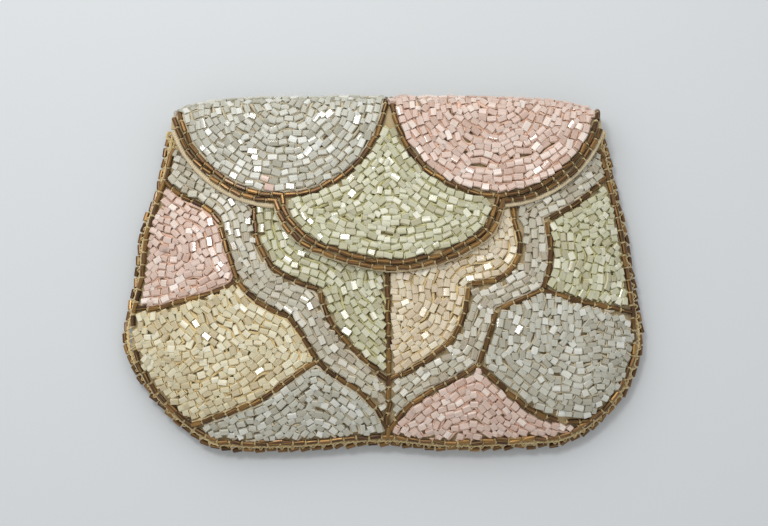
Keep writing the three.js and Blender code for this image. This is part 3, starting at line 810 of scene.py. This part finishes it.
def fieldRows(guides, on, tree, low, high):
    guides = [unrolled(lines[name]) if on is onFlap else lines[name] for name in guides]
    xs, ys = [np.arange(low[i], high[i], sowing["grid"]) for i in (0, 1)]
    grid = np.stack(np.meshgrid(xs, ys), axis=2).reshape(-1, 2)
    table = np.min([distanceTo(grid, guide[::2]) for guide in guides], axis=0)
    wander = sowing["wander"] / 2 * np.clip(table / sowing["calm"] - sowing["straight"], 0, 1)
    for turn in chance.uniform(0, 2 * math.pi, 3):
        way = np.array((math.cos(turn), math.sin(turn)))
        table += wander * np.sin(grid @ way / sowing["wave"] * 2 * math.pi + 5 * turn)
    table = table.reshape(len(ys), len(xs))
    rows = []
    level = purse["rowInset"] + satin["width"] / 2
    while level < table.max():
        for chain in levelLines(table, level, low):
            rows += insideRuns(respaced(chain), on, beadMiddle, tree)
        level += satin["rows"]
    return rows


def beadsInRow(row, on, tree):
    run = runAlong(row)
    at = chance.uniform(0, satin["spacing"])
    beads = []
    while at < run[-1]:
        shortest, longest = loose["lengths"]
        length = satin["length"] * min(longest, max(shortest, chance.normal(1, loose["length"])))
        ends = np.stack([np.interp((at, at + length), run, column) for column in row.T], axis=1)
        at += length + satin["spacing"] * chance.uniform(*loose["gap"])
        way = ends[1] - ends[0]
        if np.linalg.norm(way) < satin["length"] / 2 or chance.random() < loose["missing"]:
            continue
        ends += np.array((way[1], -way[0])) / np.linalg.norm(way) * chance.normal(0, loose["aside"])
        bead = seatedBead(on, tree, ends, length)
        if bead:
            beads.append(bead)
    return beads


# Beads for the holes that the rows leave, laid as the nearest ones lie
def patchBeads(beads, on, tree, low, high, lengthShare, clear, overhang):
    centres = np.array([bead["centre"] for bead in beads])
    axes = np.array([bead["axis"][:2] for bead in beads])
    xs, ys = [np.arange(low[i], high[i], sowing["patch"]) for i in (0, 1)]
    places = np.stack(np.meshgrid(xs, ys), axis=2).reshape(-1, 2)
    places += chance.uniform(-1, 1, places.shape) * sowing["patchShift"] * sowing["patch"]
    seats, _ = on(places, beadMiddle)
    more = []
    for place, seat in zip(places, seats):
        away = np.linalg.norm(centres - seat, axis=1)
        if away.min() < clear:
            continue
        way = axes[np.argmin(away)]
        length = satin["length"] * lengthShare * chance.uniform(*sowing["patchSize"])
        half = unit(way) * length / 2
        bead = seatedBead(on, tree, np.stack([place - half, place + half]), length, overhang)
        if bead:
            more.append(bead)
            centres = np.concatenate([centres, [bead["centre"]]])
            axes = np.concatenate([axes, [bead["axis"][:2]]])
    return more


def fieldCorners(node, beyond):
    low, high = [np.array(corner[:2]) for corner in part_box(node)]
    return low - sowing["room"], high + sowing["room"] + np.array((0, beyond))


def seatedBead(on, tree, ends, length, overhang=loose["overhang"]):
    (a, b), normals = on(ends, beadMiddle)
    axis, up = unit(b - a), normals.mean(0)
    side = np.cross(up, axis)
    centre = (a + b) / 2
    reach = length / 2 - overhang
    wide = satin["width"] / 2 - overhang
    corners = [centre + axis * reach * i + side * wide * j for i in (-1, 1) for j in (-1, 1)]
    if tree and not all(inside(tree, p, up) for p in [centre, *corners]):
        return None
    roll, nod, yaw = np.radians([chance.normal(0, loose[key]) for key in ("roll", "nod", "yaw")])
    axis = axis + up * nod + side * yaw
    up = up + side * roll
    centre = centre + up * chance.normal(0, loose["lift"])
    size = (length / satin["length"], chance.uniform(*loose["widths"]), chance.uniform(*loose["heights"]))
    ridged = chance.random() < satin["ridged"]
    return {"centre": centre, "axis": axis, "up": up, "size": size, "ridged": ridged}


def stitchPath(start, path, axis, up, side):
    points = []
    for along, low, high, spread in path:
        height = chance.uniform(low, high) if high > low else low
        aside = chance.normal(0, spread) if spread else 0
        points.append(start + (axis * along + up * height + side * aside) * mm)
    return np.array(points)


def stitchesAt(beads):  # short ends of thread, from a bead's hole and over the gap beside it
    paths = []
    for bead in beads:
        axis, up = unit(bead["axis"]), unit(bead["up"])
        side = np.cross(up, axis)
        tip = bead["centre"] + axis * satin["length"] * bead["size"][0] / 2
        if chance.random() < stitch["ends"]:
            paths.append(stitchPath(tip, stitch["endPath"], axis, up, side))
        if chance.random() < stitch["sides"]:
            edge = bead["centre"] + side * (satin["width"] / 2 + stitch["sideGap"])
            paths.append(stitchPath(edge, stitch["sidePath"], axis, up, side))
    return paths


def plugsBetween(beads):  # thread that fills the gap behind each bead
    paths = []
    for bead in beads:
        axis = unit(bead["axis"])
        side = unit(np.cross(bead["up"], axis))
        gap = bead["centre"] + axis * (satin["length"] * bead["size"][0] / 2 + stitch["plugBehind"])
        lift = bead["up"] * chance.uniform(*stitch["plugRise"])
        reach = side * stitch["plugReach"] + axis * chance.normal(0, stitch["plugLean"])
        paths.append(np.array([gap - reach, gap + lift, gap + reach]))
    return paths


def flossBetween(rows, on):  # a soft strand on each side of a row, which fills the gap with its colour
    aside, upward = stitch["flossWave"]
    paths = []
    for row in rows:
        row = respaced(row, stitch["flossStep"])
        if len(row) < 4:
            continue
        run = runAlong(row)
        wave, swell = [
            np.sin(run / chance.uniform(*stitch["flossBend"]) + chance.uniform(0, 6)) for _ in range(2)
        ]
        side = (satin["rows"] / 2 + aside * wave)[:, None]
        place, normal = on(row + side * rightOf(row), 0)
        paths.append(place + normal * (stitch["flossRise"] + upward * swell)[:, None])
    return paths


def beadPiece(name, shapes, beads, threads, materials, which=None):
    which = np.zeros(len(beads), int) if which is None else which
    points, faces, grain = np.empty((0, 3)), [], np.empty((0, 3))
    shade, kinds = np.empty(0), np.empty(0, int)

    def join(morePoints, moreFaces, moreShade, moreGrain, moreKinds):
        nonlocal points, shade, grain, kinds
        faces.extend(tuple(i + len(points) for i in face) for face in moreFaces)
        points = np.concatenate([points, morePoints])
        shade = np.concatenate([shade, moreShade])
        grain = np.concatenate([grain, moreGrain])
        kinds = np.concatenate([kinds, moreKinds])

    ridged = np.array([len(shapes) > 1 and bool(bead.get("ridged")) for bead in beads])
    for kind, shape in enumerate(shapes):
        chosen = np.flatnonzero(ridged == bool(kind))
        if len(chosen):
            join(*copies(shape, [beads[k] for k in chosen]), np.repeat(which[chosen], len(shape[1])))
    for paths, radius in threads:
        if paths:
            more, moreFaces = tubes(paths, radius, sides=3 if radius < stitch["fine"] else 4)
            join(more, moreFaces, np.zeros(len(more)), more, np.ones(len(moreFaces), int))
    attributes = {"shade": ("FLOAT", "value", shade), "grain": ("FLOAT_VECTOR", "vector", grain)}
    return meshPiece(name, points, faces, materials, attributes, False, kinds)


crest = {"across": 2 * mm, "along": 0.25 * mm, "ahead": 2 * mm, "behind": 4 * mm}


def crestBeads(flapTree, backTree, low, high):  # rows along the fold, between a flap field and the back's
    xs = np.arange(low, high, crest["across"])
    bare = []
    for x in xs:
        start, radius, _ = foldAt(x)
        half = (radius + beadMiddle) * math.pi
        turns = np.arange(0, half, crest["along"])
        spots = np.stack([np.full(len(turns), x), start + turns], axis=1)
        free = []
        for place, up in zip(*onFlap(spots, beadMiddle)):
            free.append(not inside(flapTree, place, up) and not inside(backTree, place, up))
        runs = stretches(spots, np.array(free), 2)
        top = start + half / 2
        first, last = top - crest["behind"], top + crest["ahead"]
        near = [run for run in runs if run[0, 1] < last and run[-1, 1] > first]
        bare.append((near[0][0, 1], near[-1][-1, 1]) if near else (np.nan, np.nan))
    bare = np.array(bare)
    xs, bare = xs[~np.isnan(bare[:, 0])], bare[~np.isnan(bare[:, 0])]
    count = max(1, round(float(np.median(bare[:, 1] - bare[:, 0])) / satin["rows"]))
    beads = []
    for k in range(count):
        row = np.stack([xs, bare[:, 0] + (k + 0.5) / count * (bare[:, 1] - bare[:, 0])], axis=1)
        beads += beadsInRow(respaced(row), onFlap, None)
    return beads


backTree = treeOf("back_beads")


def standFor(node):
    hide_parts(node)


for node, (kind, guides) in fields.items():
    on = onFlap if node.startswith("flap") else onFront
    tree = treeOf(node)
    corners = fieldCorners(node, sowing["unrolled"] if on is onFlap else 0)
    rows = fieldRows(guides, on, tree, *corners)
    beads = [bead for row in rows for bead in beadsInRow(row, on, tree)]
    for patch in sowing["patches"]:
        beads += patchBeads(beads, on, tree, *corners, *patch)
    if node in crestSpans:
        beads += crestBeads(tree, backTree, *crestSpans[node])
    which = np.zeros(len(beads), int)
    if node in strays:
        away = [np.linalg.norm(bead["centre"][:2] - strays[node]) for bead in beads]
        which[np.argsort(away)[:2]] = 2
    threads = [
        (stitchesAt(beads), stitch["radius"]),
        (plugsBetween(beads), stitch["plug"]),
        (flossBetween(rows, on), stitch["floss"]),
    ]
    materials = [glass[kind], silk[threadColour[kind]], glass["rose"]]
    piece = beadPiece(node.replace("beads", "field"), satinShapes, beads, threads, materials, which)
    standFor(node)
    print(node, len(beads), "beads", len(piece.data.polygons), "faces")


# Plain rows of pearl beads on the back and round the lower half of the fold

back = {
    "sink": 0.3 * mm,
    "wave": 0.3 * mm,
    "waveLength": 14 * mm,
    "probeAt": 40 * mm,  # beside the middle
    "probeStep": 0.25 * mm,
}


def lowBack(points, lift):
    return onBack(points, lift - back["sink"])


def backEdge():  # where the back's beads end on the fold, along one line that crosses it
    start = foldAt(back["probeAt"])[0]
    vs = np.arange(start, start + sowing["unrolled"], back["probeStep"])
    places, ups = onBack(np.stack([np.full(len(vs), back["probeAt"]), vs], axis=1), beadMiddle)
    return max(v for v, place, up in zip(vs, places, ups) if inside(backTree, place, up))


def sewBack():
    rows = []
    for y in np.arange(backEdge() - satin["width"] / 2, -halfHeight, -satin["rows"]):
        xs = np.arange(-halfWidth, halfWidth, purse["step"])
        line = np.stack([xs, y + back["wave"] * np.sin(xs / back["waveLength"] + y / mm)], axis=1)
        rows += insideRuns(line, onBack, beadMiddle, backTree)
    beads = [bead for row in rows for bead in beadsInRow(row, lowBack, backTree)]
    threads = [(flossBetween(rows, onBack), stitch["floss"])]
    piece = beadPiece("back_field", backShapes, beads, threads, [glass["pearl"], silk["olive"]])
    standFor("back_beads")
    print("back", len(beads), "beads", len(piece.data.polygons), "faces")


sewBack()


# Bronze bugles, each row threaded on gold silk and couched between the beads

sewing = {
    "pitch": bugle["length"] + bugle["spacing"],
    "wander": 0.2 * mm,
    "turn": 4.5,  # degrees
    "core": 0.26 * mm,
    "couching": 0.13 * mm,
    "reach": 0.8 * mm,  # of a couching stitch to each side
    "shoulder": 0.75,  # share of that reach where it turns down
    "down": 1 * mm,
    "over": (0.2 * mm, 0.5 * mm),  # height of its middle
    "shifts": (-0.16 * mm, 0.16 * mm),  # the two stitches between two bugles
    "lean": 0.25 * mm,
    "coreStep": 1.2 * mm,
    "lengths": (0.95, 1.03),
    "girths": (0.92, 1),
    "trim": 0.9 * mm,  # where a row meets another one
    "endsFrom": 65 * mm,  # from the middle
    "beforeFold": 2 * mm,
    "overFold": 13 * mm,
}


cordSeam = {
    "inward": 1.25 * mm,
    "height": 6.3 * mm,
    "strand": 0.36 * mm,
    "twist": 0.3 * mm,
    "turn": 3.2 * mm,
    "step": 0.5 * mm,
}


def bugleRow(line, on, lift, turn=0.0, pitch=sewing["pitch"], least=0.55, ease=1):
    run = runAlong(line)
    count = max(1, round(run[-1] / pitch))
    each = run[-1] / count
    if each < least * pitch:
        return [], [], []
    beads, couching = [], []
    for k in range(count):
        at = np.array((k * each, (k + 1) * each))
        ends = np.stack([np.interp(at, run, column) for column in line.T], axis=1)
        (a, b), normals = on(ends, lift)
        axis, up = unit(b - a), normals.mean(0)
        side = np.cross(up, axis)
        swing = math.radians(chance.normal(turn, sewing["turn"] * ease))
        centre = (a + b) / 2 + side * chance.normal(0, sewing["wander"] * ease)
        size = (each - bugle["spacing"]) / bugle["length"] * chance.uniform(*sewing["lengths"])
        girth = chance.uniform(*sewing["girths"])
        axisTurned = axis + side * swing
        beads.append({"centre": centre, "axis": axisTurned, "up": up, "size": (size, girth, girth)})
        for shift in sewing["shifts"]:
            base = a + axis * shift
            lean = axis * chance.normal(0, sewing["lean"])
            foot = side * sewing["reach"] + lean
            shoulder = side * sewing["reach"] * sewing["shoulder"] + lean / 2
            middle = base + up * chance.uniform(*sewing["over"])
            down = up * sewing["down"]
            path = [base - foot - down, base - shoulder, middle, base + shoulder, base + foot - down]
            couching.append(np.array(path))
    places, _ = on(respaced(line, sewing["coreStep"]), lift)
    return beads, couching, [places] if len(places) > 2 else []


def roundEnds(line):  # where the row beside the flap's ends goes on over the fold
    start = foldAt(line[:, 0])[0]
    beyond = line[:, 1] - start
    onWay = (beyond > -sewing["beforeFold"]) & (beyond < sewing["overFold"])
    return onWay & (np.abs(line[:, 0]) > sewing["endsFrom"])


def bugleRows(node, wanted, on, lift, **how):
    tree = treeOf(node)
    beads, couching, cores = [], [], []
    for line, trim in wanted:
        also = roundEnds(line) if node == "flap_outline_beads" else False
        for part in insideRuns(line, on, lift, tree, also):
            cut = int(trim / purse["step"])
            part = part[cut:len(part) - cut]
            if len(part) > 4:
                for total, more in zip((beads, couching, cores), bugleRow(part, on, lift, **how)):
                    total += more
    return beads, couching, cores


def buglePiece(name, node, rows, cords=()):
    beads, couching, cores = rows
    threads = [(couching, sewing["couching"]), (cores, sewing["core"]), (list(cords), cordSeam["strand"])]
    piece = beadPiece(name, bugleShapes, beads, threads, [bronze, silk["gold"]])
    standFor(node)
    print(name, len(beads), "bugles", len(piece.data.polygons), "faces")


frontWanted = [(lines["frontRim"], 0)]
frontWanted += [(lines[name], sewing["trim"]) for name in outlines if name != "tongue"]
buglePiece("front_outline_bugles", "front_outline_beads",
           bugleRows("front_outline_beads", frontWanted, onFront, bugleMiddle))


def flapRow(growth):
    return [unrolled(scallop(leftCentre, growth)), unrolled(scallop(rightCentre, growth)),
            beside(lines["tongue"], growth)]


for name, node, growth in (
    ("flap_outline_bugles", "flap_outline_beads", 0),
    ("flap_edge_bugles", "flap_edge_beads", purse["rowPitch"]),
):
    wanted = [(line, 0) for line in flapRow(growth)]
    buglePiece(name, node, bugleRows(node, wanted, onFlap, bugleMiddle))


seam = {
    "tilt": 1.2,  # upward for each unit outward
    "turn": 9,  # degrees
    "pitch": 4.1 * mm,
    "ease": 1.8,
    "laceStep": 1.9 * mm,
    "laceOut": 0.2 * mm,
    "laceOver": 0.75 * mm,
    "laceIn": 0.5 * mm,  # above the front's cloth
    "lacePoints": 0.8 * mm,
    "laceTwin": (0.25 * mm, 0.3 * mm, -0.12 * mm),
}


def onSeam(points, lift):
    ring = np.gradient(points, axis=0) if len(points) > 2 else np.repeat(np.diff(points, axis=0), 2, axis=0)
    ring /= np.linalg.norm(ring, axis=1)[:, None] + 1e-12
    out = unit(np.stack([ring[:, 1], -ring[:, 0], np.full(len(points), seam["tilt"])], axis=1))
    places = np.stack([*points.T, np.full(len(points), purse["seamHeight"])], axis=1)
    return places + out * lift, out


seamRow = bugleRow(lines["seam"], onSeam, 0, turn=seam["turn"], pitch=seam["pitch"], ease=seam["ease"])


def laceAround():  # gold thread to and fro between the seam's bugles and the front's outer row
    way, rim = respaced(lines["seam"], seam["laceStep"]), lines["frontRim"]
    outer = beside(way, seam["laceOut"])
    points = []
    for k, p in enumerate(way):
        if k % 2:
            points.append((*outer[k], purse["seamHeight"] + seam["laceOver"]))
        else:
            near = rim[np.argmin(np.linalg.norm(rim - p, axis=1))]
            points.append(onFront(near[None], seam["laceIn"])[0][0])
    return respaced(np.array(points), seam["lacePoints"])


def seamCord():  # two twisted strands that fill the seam between the two rows of bugles
    line = respaced(beside(lines["seam"], -cordSeam["inward"]), cordSeam["step"])
    turn = runAlong(line) / cordSeam["turn"] * 2 * math.pi
    strands = []
    for start in (0, math.pi):
        aside, over = [cordSeam["twist"] * wave(turn + start) for wave in (np.cos, np.sin)]
        flat = line + aside[:, None] * rightOf(line)
        strands.append(np.column_stack([flat, cordSeam["height"] + over]))
    return strands


lace = laceAround()
seamRow[1].append(lace)
seamRow[1].append(lace + np.array(seam["laceTwin"]))
buglePiece("seam_edging_bugles", "seam_edging_beads", seamRow, seamCord())


# Cloth: the back that turns over into the flap, the front, and the flap's rolled edge

cloth = {
    "pucker": 0.1 * mm,
    "puckerSize": 4 * mm,
    "cuts": 2,
    "merge": 0.001 * mm,
    "smooth": math.radians(50),
    "front": {"flat": (182.7 * mm, 109.5 * mm), "area": 0.0191},
    "back": {"flat": (185.4 * mm, 203 * mm), "area": 0.0281},
}


def clothPiece(name, node):
    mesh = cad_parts[node].data.copy()
    mesh.materials.clear()
    mesh.materials.append(cotton)
    mesh.polygons.foreach_set("material_index", np.zeros(len(mesh.polygons), int))
    piece = bpy.data.objects.new(name, mesh)
    bpy.context.scene.collection.objects.link(piece)
    bpy.ops.object.select_all(action="DESELECT")
    piece.select_set(True)
    bpy.context.view_layer.objects.active = piece
    bpy.ops.object.mode_set(mode="EDIT")
    bpy.ops.mesh.select_all(action="SELECT")
    bpy.ops.mesh.remove_doubles(threshold=cloth["merge"])
    bpy.ops.mesh.subdivide(number_cuts=cloth["cuts"])
    bpy.ops.object.mode_set(mode="OBJECT")
    for v in mesh.vertices:
        v.co.z += cloth["pucker"] * noise.noise(Vector((v.co.x, v.co.y, 0)) / cloth["puckerSize"])
    bpy.ops.object.shade_smooth_by_angle(angle=cloth["smooth"])
    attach(piece, "root")
    standFor(node)
    print(name, len(mesh.polygons), "faces")
    return piece


frontCloth = clothPiece("front_cotton", "front_cloth")
backCloth = clothPiece("back_and_flap_cotton", "back_and_flap_cloth")

rolled = {
    "radius": (0.98 * mm, 0.85 * mm, 0.62 * mm),  # left, right and middle
    "outward": (0.4 * mm, 0.2 * mm, -0.5 * mm),
    "sink": purse["clothWall"] / 2,
    "thread": 0.1 * mm,
    "step": 0.8 * mm,
    "round": (-0.3, math.pi + 0.3, 7),  # turn of an overcast stitch
    "slant": 0.2 * mm,
    "least": 8,  # points of a part that is bound
}


def bindFlap():
    tree = treeOf("flap_binding")
    points, faces, kinds = np.empty((0, 3)), [], []

    def join(paths, radius, sides, kind):
        nonlocal points
        more, moreFaces = tubes(paths, radius, sides)
        faces.extend(tuple(i + len(points) for i in face) for face in moreFaces)
        kinds.extend([kind] * len(moreFaces))
        points = np.concatenate([points, more])

    for line, radius, outward in zip(flapRow(purse["bindingReach"]), rolled["radius"], rolled["outward"]):
        for part in insideRuns(line, onFlap, -rolled["sink"], tree):
            if len(part) < rolled["least"]:
                continue
            places, normals = onFlap(respaced(beside(part, outward), rolled["step"]), -rolled["sink"])
            join([places], radius, 8, 0)
            way = wayAlong(places)
            size = radius + rolled["thread"] / 2
            turn = np.linspace(*rolled["round"])[:, None]
            slant = (turn - 1.5) * rolled["slant"]
            overcast = []
            for p, w, up, out in zip(places, way, normals, np.cross(normals, way)):
                overcast.append(p + size * (np.cos(turn) * out + np.sin(turn) * up) + w * slant)
            join(overcast, rolled["thread"], 4, 0 if outward > 0 else 1)
    materials = [hemSilk, silk["gold"]]
    piece = meshPiece("flap_rolled_edge", points, faces, materials, smooth=True, faceMaterials=kinds)
    standFor("flap_binding")
    print("flap edge", len(faces), "faces")
    return piece


edge = bindFlap()


# The hidden snap keeps its solid, in brushed steel

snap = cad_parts["snap_fastener"]
steel = clouded("brushed_snap_steel", {"Metallic": 1, "Roughness": 0.35},
                (0.5, 0.5, 0.48), (0.66, 0.66, 0.64), 1, (200, 4000, 4000))
for slot in snap.material_slots:
    slot.material = steel
print("cloth and snap finished")


# Floor and light

studio = {
    "floor": (0.65, 0.675, 0.685),
    "floorSize": 3,
    "floorShade": 0.985,  # of its faint clouds
    "sky": (0.98, 0.985, 1.0),
    "skyStrength": 0.6,
    "key": {"place": (-0.20, 0.32, 0.80), "size": (0.145, 0.145), "power": 1.55},
    "fill": {"place": (-0.12, 0.36, 0.40), "size": (0.6, 0.6), "power": 1.4},
}


def layFloor():
    bpy.ops.mesh.primitive_grid_add(x_subdivisions=8, y_subdivisions=8, size=studio["floorSize"])
    floor = bpy.context.object
    floor.name = "floor"
    tone = studio["floor"]
    darker = tuple(studio["floorShade"] * c for c in tone)
    floor.data.materials.append(clouded("pale_floor", {"Roughness": 0.8}, tone, darker, 6))


def addLight(name, facts):
    bpy.ops.object.light_add(type="AREA", location=facts["place"])
    lamp = bpy.context.object
    lamp.name = name
    lamp.data.shape = "RECTANGLE"
    lamp.data.size, lamp.data.size_y = facts["size"]
    lamp.data.energy = facts["power"]
    lamp.rotation_euler = (-Vector(facts["place"])).to_track_quat("-Z", "Y").to_euler()


layFloor()
bpy.context.scene.view_settings.view_transform = "Standard"
world = bpy.data.worlds.new("studio")
world.use_nodes = True
world.node_tree.nodes["Background"].inputs[0].default_value = (*studio["sky"], 1)
world.node_tree.nodes["Background"].inputs[1].default_value = studio["skyStrength"]
bpy.context.scene.world = world
addLight("key_light", studio["key"])
addLight("fill_light", studio["fill"])
print("floor and light set")
